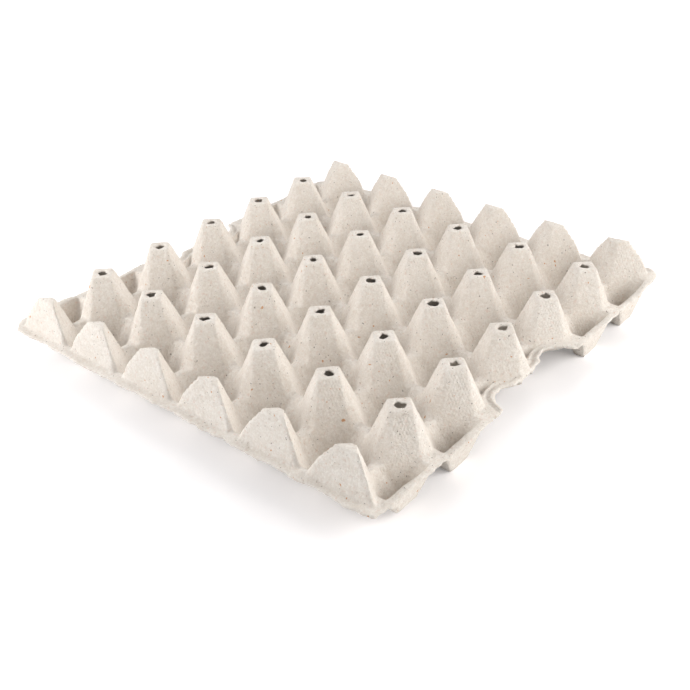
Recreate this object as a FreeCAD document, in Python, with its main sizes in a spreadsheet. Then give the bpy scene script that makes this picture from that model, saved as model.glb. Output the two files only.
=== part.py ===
"""Moulded pulp tray with thirty cups, made as one pressed sheet of even thickness.

The sheet is what is left between two forms. The upper form has the faces that are seen from
above, and the lower form has the same faces moved inwards by the wall. Length runs along X,
with six cups, and width along Y, with five. The origin is under the middle of the tray,
on the surface that it stands on. One quarter of the tray is formed, the one towards -X and
-Y, and it is mirrored twice.
"""
import FreeCAD, Part
import os
import Sketcher

doc = FreeCAD.newDocument("pulp_tray")

# Driving dimensions, in millimetres and degrees

SIZES = {
    "columns": 6,
    "rows": 5,
    "pitch": 47.5,
    "height": 44.0,
    "wall": 1.8,
    # Posts: half widths of the flat top, towards the cups and towards the next posts
    "post_cup_half": 6.0,
    "post_row_half": 8.0,
    "post_cup_draft": 22.0,
    "post_row_draft": 22.0,
    "pin_radius": 2.9,
    # End posts are fuller, and are cut off by the flat outer face of each end
    "end_post_half": 7.0,
    "end_post_draft": 20.0,
    "end_face_cut": 2.5,
    "end_face_draft": 12.0,
    # Ridges between the cups, and the slope of the cup walls below them
    "ridge_level": 18.6,
    "ridge_half": 2.0,
    "cup_draft": 35.0,
    # Flange all round, with a gutter outside the posts of each long side
    "flange_level": 20.8,
    "end_overhang": 8.2,
    "side_overhang": 27.6,
    "corner_radius": 12.0,
    "gutter_overhang": 23.2,
    "gutter_draft": 11.0,
    "bridge_half": 5.8,
    "bridge_draft": 31.0,
    # Finger notches in the middle of each long side
    "notches": 2,
    "notch_radius": 13.0,
    "notch_flange": 7.0,
    "notch_draft": 20.0,
    "notch_setback": 9.0,
}
sheet = doc.addObject("Spreadsheet::Sheet", "sizes")
for row, (alias, value) in enumerate(SIZES.items(), start=1):
    sheet.set(f"A{row}", alias)
    sheet.set(f"B{row}", str(value))
    sheet.setAlias(f"B{row}", alias)
doc.recompute()

# Places that several features share, as expressions on the sheet

END_LINE = "(sizes.columns * sizes.pitch / 2)"
SIDE_LINE = "(sizes.rows * sizes.pitch / 2)"
NOTCH_START = "(-(sizes.notches - 1) * sizes.pitch / 2)"
NOTCH_LINE = f"({SIDE_LINE} + sizes.side_overhang)"
# Lines of the grid that the quarter needs, counted inwards from its outer corner
QUARTER_X = "(floor((sizes.columns + 1) / 2) + 1)"
QUARTER_Y = "(floor((sizes.rows + 1) / 2) + 1)"


def bind(feature, **expressions):
    """Tie properties of a feature to the sheet, with a double underscore for a dot."""
    for name, expression in expressions.items():
        feature.setExpression(name.replace("__", "."), expression)


def origin_feature(body, role):
    return next(item for item in body.Origin.OriginFeatures if item.Role == role)


def outline(body, name, plane, points, level="0"):
    """Sketch of a closed outline through points, each a pair of expressions."""
    sketch = body.newObject("Sketcher::SketchObject", name)
    sketch.AttachmentSupport = [(origin_feature(body, plane), "")]
    sketch.MapMode = "FlatFace"
    bind(sketch, AttachmentOffset__Base__z=level)
    places = [tuple(float(sketch.evalExpression(text)) for text in point) for point in points]
    count = len(points)
    for index, place in enumerate(places):
        start = FreeCAD.Vector(*place, 0)
        end = FreeCAD.Vector(*places[(index + 1) % count], 0)
        sketch.addGeometry(Part.LineSegment(start, end), False)
    for index in range(count):
        sketch.addConstraint(Sketcher.Constraint("Coincident", index, 2, (index + 1) % count, 1))
    for index, place in enumerate(places):
        for kind, value, text in zip(("DistanceX", "DistanceY"), place, points[index]):
            number = sketch.addConstraint(Sketcher.Constraint(kind, index, 1, value))
            sketch.setExpression(f"Constraints[{number}]", text)
    return sketch


class Form:
    """One of the two forms, with every face moved inwards by an inset."""

    def __init__(self, name, inset):
        self.inset = inset
        self.base = f"(-2 * {inset})"
        self.body = doc.addObject("PartDesign::Body", name)
        self.name = name

    def half(self, half, level, draft, at):
        """Half width, at one height, of a shape with sloping sides that is half at level."""
        slope = f"({level} - {at}) * tan({draft})"
        return f"({half} + {slope} - {self.inset} / cos({draft}))"

    def top(self, level):
        return f"({level} - {self.inset})"

    def feature(self, kind, name, **expressions):
        made = self.body.newObject(f"PartDesign::{kind}", f"{self.name}_{name}")
        bind(made, **expressions)
        return made

    def pattern(self, name, original, steps):
        """Copies of a feature in rows along X and Y: steps gives axis and count of each."""
        repeat = self.feature("LinearPattern", name)
        repeat.Originals = [original]
        for suffix, (axis, count) in zip(("", "2"), steps):
            setattr(repeat, f"Direction{suffix}", (origin_feature(self.body, axis), [""]))
            setattr(repeat, f"Mode{suffix}", "Spacing")
            bind(repeat, **{f"Occurrences{suffix}": count, f"Offset{suffix}": "sizes.pitch"})
        self.body.Tip = repeat
        doc.recompute()
        return repeat

    def bar(self, name, plane, points, length, shift="0", kind="Pad"):
        """Bar of one section, as long as length and with its middle at shift off the plane."""
        section = outline(self.body, f"{self.name}_{name}_section", plane, points, shift)
        made = self.feature(kind, name, Length=length)
        made.Profile = section
        made.Midplane = True
        doc.recompute()
        return made

    def plate(self):
        """Sheet under all the cups, which is their floors."""
        made = self.feature(
            "AdditiveBox", "plate",
            Length=f"2 * ({END_LINE} + sizes.end_overhang)",
            Width=f"2 * ({SIDE_LINE} + sizes.side_overhang)",
            Height="sizes.wall",
            Placement__Base__x=f"-({END_LINE} + sizes.end_overhang)",
            Placement__Base__y=f"-({SIDE_LINE} + sizes.side_overhang)",
            Placement__Base__z=self.base,
        )
        doc.recompute()
        return made

    def post(self, name, half, draft, along):
        """Four-sided post on the side line, with its flat sides towards the cup diagonals."""
        top = self.top("sizes.height")
        foot_half, top_half = [
            self.half(half, "sizes.height", draft, level) for level in (self.base, top)]
        made = self.feature(
            "AdditiveWedge", name, Ymin="0", Ymax=f"{top} - {self.base}",
            Xmin=f"-{foot_half}", Xmax=foot_half, Zmin=f"-{foot_half}", Zmax=foot_half,
            X2min=f"-{top_half}", X2max=top_half, Z2min=f"-{top_half}", Z2max=top_half,
            Placement__Base__x=along, Placement__Base__y=f"-{SIDE_LINE}",
            Placement__Base__z=self.base,
        )
        upright = FreeCAD.Rotation(FreeCAD.Vector(1, 0, 0), 90)
        made.Placement.Rotation = FreeCAD.Rotation(FreeCAD.Vector(0, 0, 1), 45) * upright
        doc.recompute()
        return made

    def posts(self):
        """Posts on the crossings of the grid, with the V-shaped gaps that part them.

        The gaps take the corners off the posts, down to the ridges. Only the end posts keep
        the corners towards their neighbours along the end, because they come after those gaps.
        """
        inner = self.post("post", "sizes.post_cup_half", "sizes.post_cup_draft",
                          f"sizes.pitch - {END_LINE}")
        self.pattern("posts", inner, (("X_Axis", f"{QUARTER_X} - 1"), ("Y_Axis", QUARTER_Y)))
        self.gaps("x", "YZ_Plane", SIDE_LINE, END_LINE, "Y_Axis", QUARTER_Y)
        end = self.post("end_post", "sizes.end_post_half", "sizes.end_post_draft", f"-{END_LINE}")
        self.pattern("end_posts", end, (("Y_Axis", QUARTER_Y),))
        self.gaps("y", "XZ_Plane", END_LINE, SIDE_LINE, "X_Axis", QUARTER_X)

    def gaps(self, name, plane, line, reach, axis, count):
        """Gaps of one direction between the posts, from the one outside the first line."""
        top = "(sizes.height + sizes.wall)"
        foot = self.top("sizes.ridge_level")
        foot_half, top_half = [
            "(sizes.pitch / 2 - " + self.half("sizes.post_row_half", "sizes.height",
                                              "sizes.post_row_draft", level) + ")"
            for level in (foot, top)]
        middle = f"-{line} - sizes.pitch / 2"
        points = [(f"{middle} - {foot_half}", foot), (f"{middle} + {foot_half}", foot),
                  (f"{middle} + {top_half}", top), (f"{middle} - {top_half}", top)]
        gap = self.bar(f"gap_{name}", plane, points, f"2 * ({reach} + sizes.pitch)", kind="Pocket")
        self.pattern(f"gaps_{name}", gap, ((axis, count),))

    def ridges(self):
        """Low ridges between the cups, along every line of the grid."""
        top = self.top("sizes.ridge_level")
        halves = [self.half("sizes.ridge_half", "sizes.ridge_level", "sizes.cup_draft", level)
                  for level in (self.base, top)]
        runs = (("x", "YZ_Plane", SIDE_LINE, f"2 * {END_LINE}", "Y_Axis", QUARTER_Y),
                ("y", "XZ_Plane", END_LINE, f"2 * {SIDE_LINE}", "X_Axis", QUARTER_X))
        for name, plane, line, length, axis, count in runs:
            points = [(f"-{line} - {halves[0]}", self.base), (f"-{line} + {halves[0]}", self.base),
                      (f"-{line} + {halves[1]}", top), (f"-{line} - {halves[1]}", top)]
            ridge = self.bar(f"ridge_{name}", plane, points, length)
            self.pattern(f"ridges_{name}", ridge, ((axis, count),))

    def end(self):
        """Wall and flange of the end, whose inner face is that of the ridges carried up."""
        top = self.top("sizes.flange_level")
        outer = f"(-{END_LINE} - sizes.end_overhang - 2 * {self.inset})"
        points = [(outer, self.base)]
        for level in (self.base, top):
            half = self.half("sizes.ridge_half", "sizes.ridge_level", "sizes.cup_draft", level)
            points.append((f"{half} - {END_LINE}", level))
        points.append((outer, top))
        self.bar("end", "XZ_Plane", points, f"2 * ({NOTCH_LINE} + {self.inset})")

    def gutter(self):
        """Outer wall and flange of the long side, and the bridges that part its gutters."""
        top = self.top("sizes.flange_level")
        outer = f"(-{NOTCH_LINE} - 2 * {self.inset})"
        points = [(outer, self.base)]
        for level in (self.base, top):
            lean = f"(sizes.flange_level - {level}) * tan(sizes.gutter_draft)"
            wall = f"{self.inset} / cos(sizes.gutter_draft)"
            points.append((f"{lean} - {wall} - {SIDE_LINE} - sizes.gutter_overhang", level))
        points.append((outer, top))
        self.bar("gutter", "YZ_Plane", points, f"2 * ({END_LINE} + sizes.end_overhang)")

    def bridges(self):
        """Bridges from the posts of the long side out to its flange."""
        top = self.top("sizes.flange_level")
        foot_half, top_half = [
            self.half("sizes.bridge_half", "sizes.flange_level", "sizes.bridge_draft", level)
            for level in (self.base, top)]
        section = [(f"-{END_LINE} - {foot_half}", self.base), (f"-{END_LINE} + {foot_half}", self.base),
                   (f"-{END_LINE} + {top_half}", top), (f"-{END_LINE} - {top_half}", top)]
        # The plane of the section faces towards -Y, so a shift outwards is positive
        shift = f"{SIDE_LINE} + sizes.side_overhang / 2"
        bridge = self.bar("bridge", "XZ_Plane", section, "sizes.side_overhang", shift)
        self.pattern("bridges", bridge, (("X_Axis", QUARTER_X),))

    def notches(self):
        """Round flange about each finger notch, which fills the gutter there."""
        top = self.top("sizes.flange_level")
        radii = [self.half("sizes.notch_radius + sizes.notch_flange", "sizes.flange_level",
                           "sizes.notch_draft", level) for level in (self.base, top)]
        cone = self.feature(
            "AdditiveCone", "notch", Radius1=radii[0], Radius2=radii[1],
            Height=f"{top} - {self.base}", Placement__Base__x=NOTCH_START,
            Placement__Base__y=f"-{NOTCH_LINE}", Placement__Base__z=self.base,
        )
        doc.recompute()
        self.pattern("notches", cone, (("X_Axis", "sizes.notches"),))

    def flat_end(self):
        """Flat outer faces of the end posts, from their tops down to the flange."""
        top = "(sizes.height + sizes.wall)"
        foot = self.top("sizes.flange_level")
        outer = f"(-{END_LINE} - sizes.pitch)"
        points = [(outer, foot)]
        for level in (foot, top):
            lean = f"(sizes.height - {level}) * tan(sizes.end_face_draft)"
            wall = f"{self.inset} / cos(sizes.end_face_draft)"
            points.append((f"sizes.end_face_cut + {wall} - {lean} - {END_LINE}", level))
        points.append((outer, top))
        self.bar("flat_end", "XZ_Plane", points, f"2 * ({NOTCH_LINE} + sizes.pitch)", kind="Pocket")

    def pins(self):
        """Pins that leave the holes in the post tops, on all posts but those of the ends."""
        pin = self.feature(
            "AdditiveCylinder", "pin", Radius="sizes.pin_radius", Height="4 * sizes.wall",
            Placement__Base__x=f"sizes.pitch - {END_LINE}", Placement__Base__y=f"-{SIDE_LINE}",
            Placement__Base__z="sizes.height - 3 * sizes.wall",
        )
        doc.recompute()
        self.pattern("pins", pin, (("X_Axis", f"{QUARTER_X} - 1"), ("Y_Axis", QUARTER_Y)))


def make_form(name, inset):
    form = Form(name, inset)
    form.plate()
    form.ridges()
    form.posts()
    form.flat_end()
    form.end()
    form.gutter()
    form.bridges()
    form.notches()
    return form


def make_blank():
    """Plan of the trimmed quarter, with its round corner and the finger notches cut out."""
    slab = doc.addObject("Part::Box", "slab")
    bind(slab, Length=f"{END_LINE} + sizes.end_overhang", Width=NOTCH_LINE,
         Height="sizes.height + sizes.wall", Placement__Base__x=f"-({END_LINE} + sizes.end_overhang)",
         Placement__Base__y=f"-{NOTCH_LINE}", Placement__Base__z="-sizes.wall / 2")
    doc.recompute()
    rounded = doc.addObject("Part::Fillet", "rounded_slab")
    rounded.Base = slab
    radius = float(sheet.get("corner_radius"))
    corner = slab.Placement.Base
    rounded.Edges = [
        (index, radius, radius) for index, edge in enumerate(slab.Shape.Edges, start=1)
        if all(abs(end.X - corner.x) + abs(end.Y - corner.y) < 0.01 for end in edge.Vertexes)]
    setback = doc.addObject("Part::Box", "setback")
    bind(setback, Length="(sizes.notches - 1) * sizes.pitch", Width="2 * sizes.notch_setback",
         Height="sizes.height + 2 * sizes.wall", Placement__Base__x=NOTCH_START,
         Placement__Base__y=f"-{NOTCH_LINE} - sizes.notch_setback", Placement__Base__z="-sizes.wall")
    cutters = [setback]
    for number in range(int(sheet.get("notches"))):
        notch = doc.addObject("Part::Cylinder", f"notch_{number + 1}")
        bind(notch, Radius="sizes.notch_radius", Height="sizes.height + 2 * sizes.wall",
             Placement__Base__x=f"{NOTCH_START} + {number} * sizes.pitch",
             Placement__Base__y=f"-{NOTCH_LINE}", Placement__Base__z="-sizes.wall")
        cutters.append(notch)
    gaps = doc.addObject("Part::MultiFuse", "gaps")
    gaps.Shapes = cutters
    blank = doc.addObject("Part::Cut", "blank")
    blank.Base = rounded
    blank.Tool = gaps
    doc.recompute()
    return blank


def mirrored(name, source, normal):
    """A shape joined to its mirror image in the plane through the origin."""
    image = doc.addObject("Part::Mirroring", f"{name}_image")
    image.Source = source
    image.Normal = normal
    whole = doc.addObject("Part::Fuse", name)
    whole.Base = source
    whole.Tool = image
    whole.Refine = True
    return whole


upper = make_form("upper_form", "0")
lower = make_form("lower_form", "sizes.wall")
lower.pins()
blank = make_blank()
trimmed = doc.addObject("Part::Common", "trimmed_form")
trimmed.Base = upper.body
trimmed.Tool = blank
quarter = doc.addObject("Part::Cut", "quarter")
quarter.Base = trimmed
quarter.Tool = lower.body
doc.recompute()
half = mirrored("half", quarter, FreeCAD.Vector(1, 0, 0))
tray = mirrored("tray", half, FreeCAD.Vector(0, 1, 0))
tray.Label = "tray"
doc.recompute()

for item in doc.Objects:
    if "Invalid" in item.State or "Error" in item.State:
        raise RuntimeError(f"{item.Name} failed: {item.State}")
if tray.Shape.isNull() or not tray.Shape.isValid() or len(tray.Shape.Solids) != 1:
    raise RuntimeError(f"the tray isn't one valid solid: {len(tray.Shape.Solids)} solids")

os.makedirs("parts", exist_ok=True)
tray.Shape.exportStep(os.path.join("parts", f"{tray.Label}.step"))
box = tray.Shape.BoundBox
print(f"tray {box.XLength:.1f} x {box.YLength:.1f} x {box.ZLength:.1f} mm,",
      f"{tray.Shape.Volume / 1000:.1f} cm3, {len(tray.Shape.Faces)} faces")
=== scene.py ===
# %% [markdown]
# # A moulded pulp tray
#
# The tray is one thin sheet of paper pulp, sucked onto a wire mould and dried. The CAD model gives
# its true form: tapered posts, cups, half cups along two sides and a flange. What it lacks is what
# makes pulp look like pulp: soft creases, torn rims, ragged vents, flecks and the print of the wire.
# This lesson loads the solid, leaves it as it is, and builds the soft skin from a copy of it.

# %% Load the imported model
import math

import bpy
import numpy as np
from mathutils import Matrix, Vector, noise


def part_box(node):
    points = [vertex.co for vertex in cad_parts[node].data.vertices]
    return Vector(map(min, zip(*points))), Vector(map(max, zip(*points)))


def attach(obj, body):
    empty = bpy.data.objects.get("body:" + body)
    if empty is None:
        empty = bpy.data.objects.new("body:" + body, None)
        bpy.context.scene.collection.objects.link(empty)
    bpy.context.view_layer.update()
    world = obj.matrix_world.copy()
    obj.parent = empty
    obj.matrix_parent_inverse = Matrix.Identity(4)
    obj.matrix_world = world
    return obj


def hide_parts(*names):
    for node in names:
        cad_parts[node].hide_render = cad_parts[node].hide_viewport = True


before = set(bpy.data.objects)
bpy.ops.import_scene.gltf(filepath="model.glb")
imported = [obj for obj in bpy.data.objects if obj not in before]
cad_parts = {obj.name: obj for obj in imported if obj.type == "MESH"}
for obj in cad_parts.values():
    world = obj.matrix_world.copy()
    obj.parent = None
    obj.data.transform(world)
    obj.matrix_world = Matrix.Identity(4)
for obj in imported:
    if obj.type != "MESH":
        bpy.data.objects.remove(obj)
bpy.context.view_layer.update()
tray_low, tray_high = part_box("tray")
MM = 0.001
print("tray", [round(side / MM, 1) for side in tray_high - tray_low], "mm")

# %% [markdown]
# ## Sizes that the looks need
#
# Vents, posts and the flange are where the CAD model has them. Their places follow from the pitch of
# its cups and the top of the imported node's box, and the flange level is a given number.

# %% Places on the tray
PITCH = 47.5 * MM
COLUMNS, ROWS = 6, 5
END_LINE = COLUMNS * PITCH / 2
SIDE_LINE = ROWS * PITCH / 2
TOP_LEVEL = tray_high.z
FLANGE_LEVEL = 20.8 * MM
VENT_RADIUS = 2.9 * MM
post_places = [((column - COLUMNS / 2) * PITCH, (row - ROWS / 2) * PITCH)
               for column in range(COLUMNS + 1) for row in range(ROWS + 1)]
vent_places = [place for place in post_places if abs(place[0]) < END_LINE - PITCH / 2]
print(len(post_places), "posts,", len(vent_places), "vents")

# %% [markdown]
# ## Camera
#
# The photograph was taken with a longish lens from above one corner. A camera that is turned and
# tilted about an aim point on the tray is easier to set than one typed in as a matrix.

# %% Camera
VIEW_TURN = math.radians(49.0)
VIEW_TILT = math.radians(31.59)
VIEW_ROLL = math.radians(-1.9)
VIEW_DISTANCE = 550 * MM
VIEW_AIM = Vector((-68.6, -60.4, 44.0)) * MM

back = Vector((-math.sin(VIEW_TURN) * math.cos(VIEW_TILT),
               -math.cos(VIEW_TURN) * math.cos(VIEW_TILT), math.sin(VIEW_TILT)))
camera_data = bpy.data.cameras.new("camera")
camera_data.lens = 52.0
camera_data.sensor_width = 36.0
camera_data.clip_start = 0.01
camera = bpy.data.objects.new("camera", camera_data)
bpy.context.scene.collection.objects.link(camera)
aim_turn = back.to_track_quat("Z", "Y").to_matrix().to_4x4()
camera.matrix_world = (Matrix.Translation(VIEW_AIM + back * VIEW_DISTANCE) @ aim_turn
                       @ Matrix.Rotation(VIEW_ROLL, 4, "Z"))
bpy.context.scene.camera = camera

# %% [markdown]
# ## Helpers for modelling
#
# An operator works on whatever is selected, so one helper makes a single piece the active one, and
# another adds a modifier and applies it at once. Two more read and write all corners of a mesh as an
# array, which is the quick way to move many of them by a formula.

# %% Helpers for modelling
def only(piece):
    """Makes one piece the selected and the active one."""
    bpy.ops.object.select_all(action="DESELECT")
    piece.select_set(True)
    bpy.context.view_layer.objects.active = piece


def apply_modifier(piece, kind, **settings):
    """Adds a modifier with its settings and applies it at once."""
    only(piece)
    modifier = piece.modifiers.new(kind.lower(), kind)
    for name, value in settings.items():
        setattr(modifier, name, value)
    bpy.ops.object.modifier_apply(modifier=modifier.name)


def vertex_places(piece):
    """The places of all corners of a mesh, one row each."""
    places = np.empty(len(piece.data.vertices) * 3)
    piece.data.vertices.foreach_get("co", places)
    return places.reshape(-1, 3)


def set_vertex_places(piece, places):
    """Moves all corners of a mesh to new places."""
    piece.data.vertices.foreach_set("co", places.ravel())
    piece.data.update()


# %% [markdown]
# ## The pulp skin
#
# Bevels would give every crease the same neat radius, and pulp has none of that. Here a copy of the
# solid is merged, rebuilt as small voxels and smoothed, which rounds the edges and fills the creases
# as wet fibre does. The voxels are smaller than half the wall, so the thin sheet stays closed.

# %% Copy of the solid
MERGE_DISTANCE = 0.002 * MM

tray_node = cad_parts["tray"]
skin = tray_node.copy()
skin.data = tray_node.data.copy()
skin.name = "pulp_skin"
skin.data.name = "pulp_skin"
for key in [name for name in skin.keys() if name.startswith("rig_")]:
    del skin[key]
skin.parent = None
bpy.context.scene.collection.objects.link(skin)
only(skin)
bpy.ops.object.mode_set(mode="EDIT")
bpy.ops.mesh.select_all(action="SELECT")
bpy.ops.mesh.remove_doubles(threshold=MERGE_DISTANCE)
bpy.ops.mesh.normals_make_consistent(inside=False)
bpy.ops.object.mode_set(mode="OBJECT")
print("merged copy", len(skin.data.vertices), "corners")

# %% Soft voxel skin
VOXEL = 0.7 * MM

apply_modifier(skin, "REMESH", mode="VOXEL", voxel_size=VOXEL, use_smooth_shade=True)
apply_modifier(skin, "SMOOTH", factor=0.5, iterations=2)
print("voxel skin", len(skin.data.vertices), "corners")

# %% [markdown]
# ## The torn rim
#
# The rim of a pulp tray is not trimmed. It ends where the slurry ended, so it is wavy and ragged.
# The first cell works out how deep a place lies behind the outline of the flange. The next one pushes
# what lies near the outline in or out, square to it, by smooth noise of three sizes. The pointed ears
# between the notches and the sides are rounded off in the same step.

# %% Depth behind the outline of the flange
RIM_X = tray_high.x
RIM_Y = tray_high.y
CORNER_RADIUS = 12.0 * MM
NOTCH_RADIUS = 13.0 * MM
NOTCH_SETBACK = 9.0 * MM
EAR_ROUNDING = 10 * MM
SEED_SHIFT = (7.31, 3.17, 5.93)


def outside_box(across, along):
    """Distance from a box, negative inside it, from the distances beyond its two sides."""
    return (np.hypot(np.maximum(across, 0), np.maximum(along, 0))
            + np.minimum(np.maximum(across, along), 0))


def notch_depth(x, y):
    """Distance behind the edge of the notches and of the land between them."""
    x, y = np.abs(x), np.abs(y)
    notch = np.hypot(x - PITCH / 2, y - RIM_Y) - NOTCH_RADIUS
    land = outside_box(x - PITCH / 2, RIM_Y - NOTCH_SETBACK - y)
    return np.minimum(notch, land)


def rim_depth(x, y):
    """Distance behind the whole outline, and how much its ears are rounded off there."""
    across, along = np.abs(x) - RIM_X, np.abs(y) - RIM_Y
    rim = CORNER_RADIUS - outside_box(across + CORNER_RADIUS, along + CORNER_RADIUS)
    notches = notch_depth(x, y)
    blend = np.maximum(EAR_ROUNDING - np.abs(rim - notches), 0) / EAR_ROUNDING
    return np.minimum(rim, notches), blend ** 2 * EAR_ROUNDING / 4


def waves(places, size, seed):
    """Smooth noise of one size at many places, mostly between -1 and 1."""
    shift = Vector([seed * step for step in SEED_SHIFT])
    return 2 * np.array([noise.noise(Vector(place) / size + shift) for place in places])


# %% Ragged outline
TEAR_REACH = 5 * MM
TEAR_WAVES = ((17 * MM, 0.75 * MM), (5 * MM, 0.45 * MM), (1.6 * MM, 0.28 * MM))
TEAR_INWARDS = 0.5 * MM
STEP = 0.05 * MM


def rounded_depth(x, y):
    """Distance behind the outline with its ears rounded off."""
    edge, ear = rim_depth(x, y)
    return edge - ear


places = vertex_places(skin)
depth, ears = rim_depth(places[:, 0], places[:, 1])
near = np.flatnonzero(depth < TEAR_REACH)
x, y = places[near, 0], places[near, 1]
inwards = np.stack([rounded_depth(x + STEP, y) - rounded_depth(x - STEP, y),
                    rounded_depth(x, y + STEP) - rounded_depth(x, y - STEP)], axis=1) / (2 * STEP)
tear = TEAR_INWARDS + ears[near] + sum(high * waves(places[near], size, seed)
                                       for seed, (size, high) in enumerate(TEAR_WAVES))
fade = np.clip(1 - depth[near] / TEAR_REACH, 0, 1)
places[near, :2] += inwards * (tear * fade)[:, None]
print("torn rim", len(near), "corners")

# %% [markdown]
# ## How the sheet dried
#
# A wet sheet warps as it dries. Its flange waves a little, one corner lifts and another comes out
# pointed, the posts at one end lean and one foot curls. `raised` is 0 at the feet and 1 from the flange
# upwards, so the tray still stands on its cups.

# %% Wavy flange and lifted corner
WAVE_REACH = 13 * MM
FLANGE_WAVES = ((48 * MM, 1.0 * MM), (15 * MM, 0.45 * MM))
FLANGE_SEED = 5
LIFTED_CORNER = (RIM_X, -RIM_Y)
LIFT_REACH = 52 * MM
LIFT = 6.4 * MM

raised = np.clip(places[:, 2] / FLANGE_LEVEL, 0, 1)
near = np.flatnonzero(depth < WAVE_REACH)
bend = sum(high * waves(places[near] * (1, 1, 0), size, seed)
           for seed, (size, high) in enumerate(FLANGE_WAVES, start=FLANGE_SEED))
places[near, 2] += bend * np.clip(1 - depth[near] / WAVE_REACH, 0, 1) * raised[near]
corner_distance = np.hypot(places[:, 0] - LIFTED_CORNER[0], places[:, 1] - LIFTED_CORNER[1])
places[:, 2] += LIFT * np.clip(1 - corner_distance / LIFT_REACH, 0, 1) ** 2 * raised

# %% Pointed front corner
POINTED = 0.8

corner_x = -places[:, 0] - RIM_X + CORNER_RADIUS
corner_y = -places[:, 1] - RIM_Y + CORNER_RADIUS
near = np.flatnonzero((corner_x > 0) & (corner_y > 0) & (places[:, 2] > FLANGE_LEVEL / 2))
ray = np.stack([corner_x[near], corner_y[near]], axis=1)
reach = np.hypot(ray[:, 0], ray[:, 1])
stretch = POINTED * (reach / ray.max(axis=1) - 1) * np.clip(reach / CORNER_RADIUS, 0, 1) ** 2
places[near, :2] -= ray * stretch[:, None]

# %% Set of the sheet as it dried
LEAN = 2.6 * MM
LEAN_FROM, LEAN_TO = END_LINE - 22 * MM, END_LINE - 12 * MM
FOOT = Vector((-122.0, -138.0)) * MM
FOOT_REACH = 26 * MM
FOOT_LIFT = 3.4 * MM
FOOT_SHIFT = 1.6 * MM
FOOT_HOLD = 1.6

post_part = np.clip((places[:, 2] - FLANGE_LEVEL) / (TOP_LEVEL - FLANGE_LEVEL), 0, 1)
end_part = np.clip((-places[:, 0] - LEAN_FROM) / (LEAN_TO - LEAN_FROM), 0, 1)
places[:, 1] -= LEAN * post_part * end_part
foot_part = np.clip(1 - np.hypot(places[:, 0] - FOOT.x, places[:, 1] - FOOT.y) / FOOT_REACH, 0, 1)
foot_part = np.minimum(FOOT_HOLD * foot_part, 1) * (1 - raised)
places[:, 2] += FOOT_LIFT * foot_part
places[:, 0] += FOOT_SHIFT * foot_part

# %% [markdown]
# ## Notches and vents
#
# A shallow groove with a rounded bead outside it follows each notch. Each vent is a hole torn in wet
# pulp: noise laid out round its axis pushes its edge in and out, and fades with the distance, so the
# post about it stays plain.

# %% Grooves behind the rim of the notches
GROOVE_DEPTH = 4.6 * MM
GROOVE_HALF = 1.5 * MM
GROOVE_DROP = 1.3 * MM
GROOVE_LEVELS = 8 * MM
RIM_BEAD = 0.5 * MM

notch_side = notch_depth(places[:, 0], places[:, 1])
level_fade = np.clip(1 - np.abs(places[:, 2] - FLANGE_LEVEL) / GROOVE_LEVELS, 0, 1)
groove = np.clip(1 - np.abs(notch_side - GROOVE_DEPTH) / GROOVE_HALF, 0, 1)
bead = np.clip(1 - np.abs(notch_side - GROOVE_DEPTH / 2) / (GROOVE_DEPTH / 2), 0, 1)
places[:, 2] += (RIM_BEAD * np.sqrt(bead) - GROOVE_DROP * groove) * level_fade
print("grooved corners", np.count_nonzero(groove * level_fade))

# %% Ragged vents
VENT_REACH = 6 * MM
VENT_RAGGED = 0.8 * MM
VENT_WAVES = ((1.0, 1.0), (0.35, 0.5))
VENT_RISE = 0.12
VENT_SEED = 4.7

for number, (vent_x, vent_y) in enumerate(vent_places):
    offset = places[:, :2] - (vent_x, vent_y)
    radius = np.hypot(offset[:, 0], offset[:, 1])
    near = np.flatnonzero((radius < VENT_REACH) & (places[:, 2] > TOP_LEVEL - VENT_REACH))
    outwards = offset[near] / radius[near, None]
    heights = VENT_RISE * places[near, 2] / MM
    around = np.column_stack([outwards, heights + VENT_SEED * number])
    ragged = VENT_RAGGED * sum(high * waves(around, size, number) for size, high in VENT_WAVES)
    fade = np.clip((VENT_REACH - radius[near]) / (VENT_REACH - VENT_RADIUS), 0, 1)
    places[near, :2] += outwards * (ragged * fade)[:, None]
set_vertex_places(skin, places)
print("ragged vents", len(vent_places))

# %% [markdown]
# ## Unevenness
#
# Two cloud textures push the skin in and out: swellings as wide as the top of a post, and lumps of
# fibre. The mesh is then thinned, and flattened where it would pass through the floor.

# %% Unevenness of the dried sheet
def clouds(name, size, depth):
    """A cloud texture for a displacement."""
    texture = bpy.data.textures.new(name, "CLOUDS")
    texture.noise_scale = size
    texture.noise_depth = depth
    return texture


apply_modifier(skin, "DISPLACE", texture=clouds("swelling", 14 * MM, 1), strength=0.6 * MM,
               mid_level=0.5, texture_coords="LOCAL")
apply_modifier(skin, "DISPLACE", texture=clouds("lumps", 2.5 * MM, 2), strength=0.35 * MM,
               mid_level=0.5, texture_coords="LOCAL")

# %% Thin the mesh and stand it on the floor
FACE_LIMIT = 195000

triangles = sum(len(face.vertices) - 2 for face in skin.data.polygons)
apply_modifier(skin, "DECIMATE", ratio=min(1.0, FACE_LIMIT / triangles))
places = vertex_places(skin)
places[:, 2] = np.maximum(places[:, 2], tray_low.z)
set_vertex_places(skin, places)
only(skin)
bpy.ops.object.shade_smooth()
print("skin", len(skin.data.polygons), "faces")

# %% [markdown]
# ## Shader maths as expressions
#
# A node graph is easier to read as a formula. The class `Value` wraps an output socket, so that
# `a * b + 1` adds the Math nodes, and `Graph.node` makes any other node with its settings and sockets.

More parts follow.
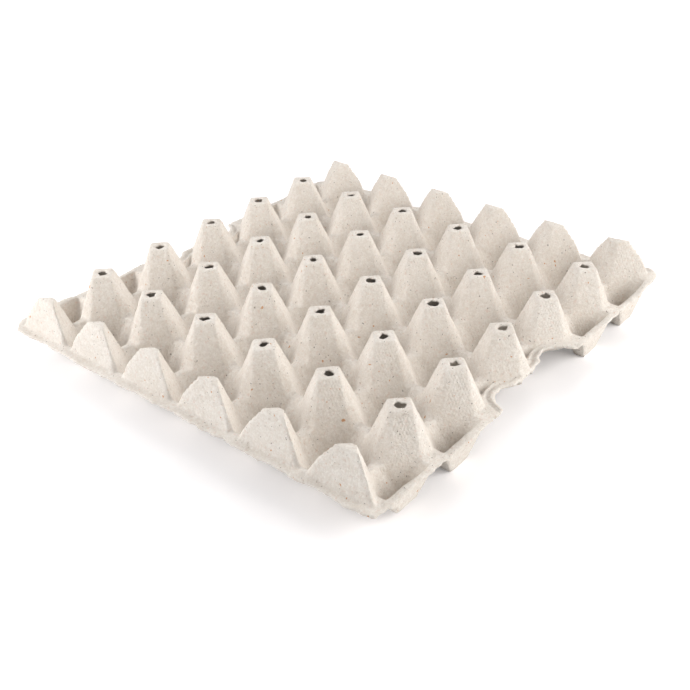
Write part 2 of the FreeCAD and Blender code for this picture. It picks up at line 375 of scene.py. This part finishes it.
# %% Expressions on sockets
class Graph:
    """Makes nodes in one material and hands out their outputs as values."""

    def __init__(self, name):
        self.material = bpy.data.materials.new(name)
        self.material.use_nodes = True
        self.tree = self.material.node_tree
        self.tree.nodes.clear()

    def node(self, kind, settings=None, **sockets):
        """A node with its settings, and with values or links at its sockets."""
        made = self.tree.nodes.new(f"ShaderNode{kind}")
        for name, value in (settings or {}).items():
            setattr(made, name, value)
        for name, value in sockets.items():
            self.plug(made, name.replace("_", " "), value)
        return made

    def plug(self, made, name, value):
        """Sets or links an input, which is given by its name or its number."""
        socket = made.inputs[int(name)] if name.isdigit() else made.inputs[name]
        if isinstance(value, Value):
            self.tree.links.new(value.socket, socket)
        else:
            socket.default_value = value

    def value(self, made, output=0):
        """An output of a node, by its number or its name, for use in sums and products."""
        return Value(self, made.outputs[output])

    def math(self, operation, first, second=0.0):
        """A Math node on two items, each of them a value or a number."""
        return self.value(self.node("Math", {"operation": operation}, **{"0": first, "1": second}))


class Value:
    """An output socket that takes part in sums and products."""

    def __init__(self, graph, socket):
        self.graph = graph
        self.socket = socket

    def __add__(self, other):
        return self.graph.math("ADD", self, other)

    __radd__ = __add__

    def __sub__(self, other):
        return self.graph.math("SUBTRACT", self, other)

    def __rsub__(self, other):
        return self.graph.math("SUBTRACT", other, self)

    def __mul__(self, other):
        return self.graph.math("MULTIPLY", self, other)

    __rmul__ = __mul__


# %% [markdown]
# ## Pulp
#
# Grey-beige waste paper, matte all over. Coarse noise gives its blotches and fine noise its fibres.
# The peaks of two more noises are the dark and rusty flecks that the stock carries. Their scales
# count waves in a metre.

# %% Pulp material
pulp = Graph("moulded_pulp")
place = pulp.value(pulp.node("TexCoord"), "Object")


def field(scale, detail, roughness=0.5):
    """Noise over the whole tray, between 0 and 1."""
    return pulp.value(pulp.node("TexNoise", Vector=place, Scale=scale, Detail=detail,
                                Roughness=roughness), "Fac")


def ramp(source, low, high):
    """0 below low and 1 above high."""
    return pulp.value(pulp.node("MapRange", {"clamp": True}, Value=source, From_Min=low,
                                From_Max=high), "Result")


def mix(factor, first, second):
    """The first colour where the factor is 0 and the second where it is 1."""
    made = pulp.node("Mix", {"data_type": "RGBA"}, **{"0": factor, "6": first, "7": second})
    return pulp.value(made, 2)


# %% Stock, fibres and flecks
GREY_STOCK = (0.745, 0.685, 0.615, 1)
PALE_STOCK = (0.80, 0.745, 0.68, 1)
WHITE_FIBRE = (0.90, 0.865, 0.82, 1)
BROWN_SPECK = (0.60, 0.52, 0.455, 1)
DARK_THREAD = (0.45, 0.36, 0.30, 1)
PINK_FIBRE = (0.68, 0.48, 0.39, 1)
DARK_FLECK = (0.17, 0.13, 0.11, 1)
RUSTY_FLECK = (0.55, 0.25, 0.08, 1)

blotches = ramp(field(45, 3), 0.35, 0.65)
mottle = ramp(field(420, 3, 0.65), 0.38, 0.62)
specks = ramp(field(950, 2, 0.6), 0.40, 0.62)
body_colour = mix(blotches, GREY_STOCK, PALE_STOCK)
body_colour = mix(mottle * 0.5, body_colour, WHITE_FIBRE)
body_colour = mix(specks * 0.30, body_colour, BROWN_SPECK)

threads = field(170, 2, 0.4)
thread_lines = 1 - ramp(pulp.math("ABSOLUTE", threads - 0.5), 0.002, 0.012)
thread_places = ramp(field(230, 2), 0.56, 0.66)
body_colour = mix(thread_lines * thread_places * 0.6, body_colour, DARK_THREAD)

pink_fibres = ramp(field(520, 3, 0.6), 0.58, 0.70)
body_colour = mix(pink_fibres * 0.40, body_colour, PINK_FIBRE)
flecks = ramp(field(700, 1, 0.4), 0.735, 0.77)
body_colour = mix(flecks * 0.8, body_colour, DARK_FLECK)
rust = ramp(field(330, 1, 0.4), 0.755, 0.79)
body_colour = mix(rust * 0.8, body_colour, RUSTY_FLECK)

# %% Relief of fibres and of the wire mould
WIRE_PITCH = 1.25 * MM
RELIEF = 0.9 * MM

split = pulp.node("SeparateXYZ", Vector=place)
east, north, up = (pulp.value(split, axis) for axis in ("X", "Y", "Z"))
wire = math.pi / WIRE_PITCH


def sine(angle):
    return pulp.math("SINE", angle)


wires = sine((east + north) * wire) * sine((east - north) * wire) * (0.7 + 0.3 * sine(up * (2 * wire)))
wire_places = ramp(field(40, 2), 0.40, 0.62)
fibres = field(800, 4, 0.7)
relief = fibres * 0.8 + field(300, 3, 0.6) * 1.1 + wires * wire_places * 0.18
bump = pulp.node("Bump", Strength=0.8, Distance=RELIEF, Height=relief)
surface = pulp.node("BsdfPrincipled", Base_Color=body_colour, Roughness=0.92,
                    Specular_IOR_Level=0.25, Normal=pulp.value(bump))
pulp.node("OutputMaterial", Surface=pulp.value(surface))

# %% Dress the skin
skin.data.materials.clear()
skin.data.materials.append(pulp.material)
tray_node.data.materials.clear()
tray_node.data.materials.append(pulp.material)

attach(skin, "root")
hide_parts("tray")

# %% [markdown]
# ## Floor and light
#
# A plain floor under three soft lights and a pale world. Only the camera sees it white, through a
# test of the kind of ray: the tray is lit by a plain pale floor. A little glow, weak near the tray
# and stronger farther out, lets the shadow fade into white.

# %% Floor
bpy.ops.object.select_all(action="DESELECT")
bpy.ops.mesh.primitive_plane_add(size=6, location=(0, 0, 0))
floor = bpy.context.active_object
floor.name = "floor"
bpy.ops.object.transform_apply(location=True, rotation=True, scale=True)
NEAR_GLOW, FAR_GLOW = 0.14, 0.70
NEAR_REACH, FAR_REACH = 0.24, 0.60

backdrop = Graph("pale_floor")
floor_place = backdrop.node("TexCoord")
length = backdrop.node("VectorMath", {"operation": "LENGTH"},
                       Vector=backdrop.value(floor_place, "Object"))
spread = backdrop.node("MapRange", {"clamp": True}, Value=backdrop.value(length, "Value"),
                       From_Min=NEAR_REACH, From_Max=FAR_REACH, To_Min=NEAR_GLOW, To_Max=FAR_GLOW)
rays = backdrop.node("LightPath")
camera_sees = backdrop.value(rays, "Is Camera Ray")
mirror_sees = backdrop.value(rays, "Is Glossy Ray")
glass_sees = backdrop.value(rays, "Is Transmission Ray")
seen = backdrop.math("MINIMUM", camera_sees + mirror_sees + glass_sees, 1.0)
pale = backdrop.node("BsdfDiffuse", Color=(0.86, 0.86, 0.86, 1))
white = backdrop.node("BsdfDiffuse", Color=(0.98, 0.96, 0.97, 1))
glow = backdrop.node("Emission", Color=(1, 1, 1, 1), Strength=backdrop.value(spread))
bright = backdrop.node("AddShader", **{"0": backdrop.value(white), "1": backdrop.value(glow)})
shown = backdrop.node("MixShader", **{"0": seen, "1": backdrop.value(pale),
                                      "2": backdrop.value(bright)})
backdrop.node("OutputMaterial", Surface=backdrop.value(shown))
floor.data.materials.append(backdrop.material)

# %% Lights
def soft_light(name, place, size, power, colour=(1, 1, 1)):
    """A round lamp at a place in metres that faces the middle of the tray."""
    data = bpy.data.lights.new(name, "AREA")
    data.shape = "DISK"
    data.size = size
    data.energy = power
    data.color = colour
    lamp = bpy.data.objects.new(name, data)
    bpy.context.scene.collection.objects.link(lamp)
    lamp.location = place
    lamp.rotation_euler = Vector(place).to_track_quat("Z", "Y").to_euler()


soft_light("top_light", (0.85, 0.20, 0.85), 0.6, 3.6)
soft_light("left_light", (-0.55, 0.50, 0.35), 0.4, 4.6)
soft_light("right_light", (0.30, -0.90, 0.50), 0.9, 9.0, (1.0, 0.985, 0.96))
WORLD_STRENGTH = 0.40
world = bpy.data.worlds.new("studio")
world.use_nodes = True
background = world.node_tree.nodes["Background"]
background.inputs["Color"].default_value = (1, 1, 1, 1)
background.inputs["Strength"].default_value = WORLD_STRENGTH
bpy.context.scene.world = world
bpy.context.scene.view_settings.view_transform = "Standard"
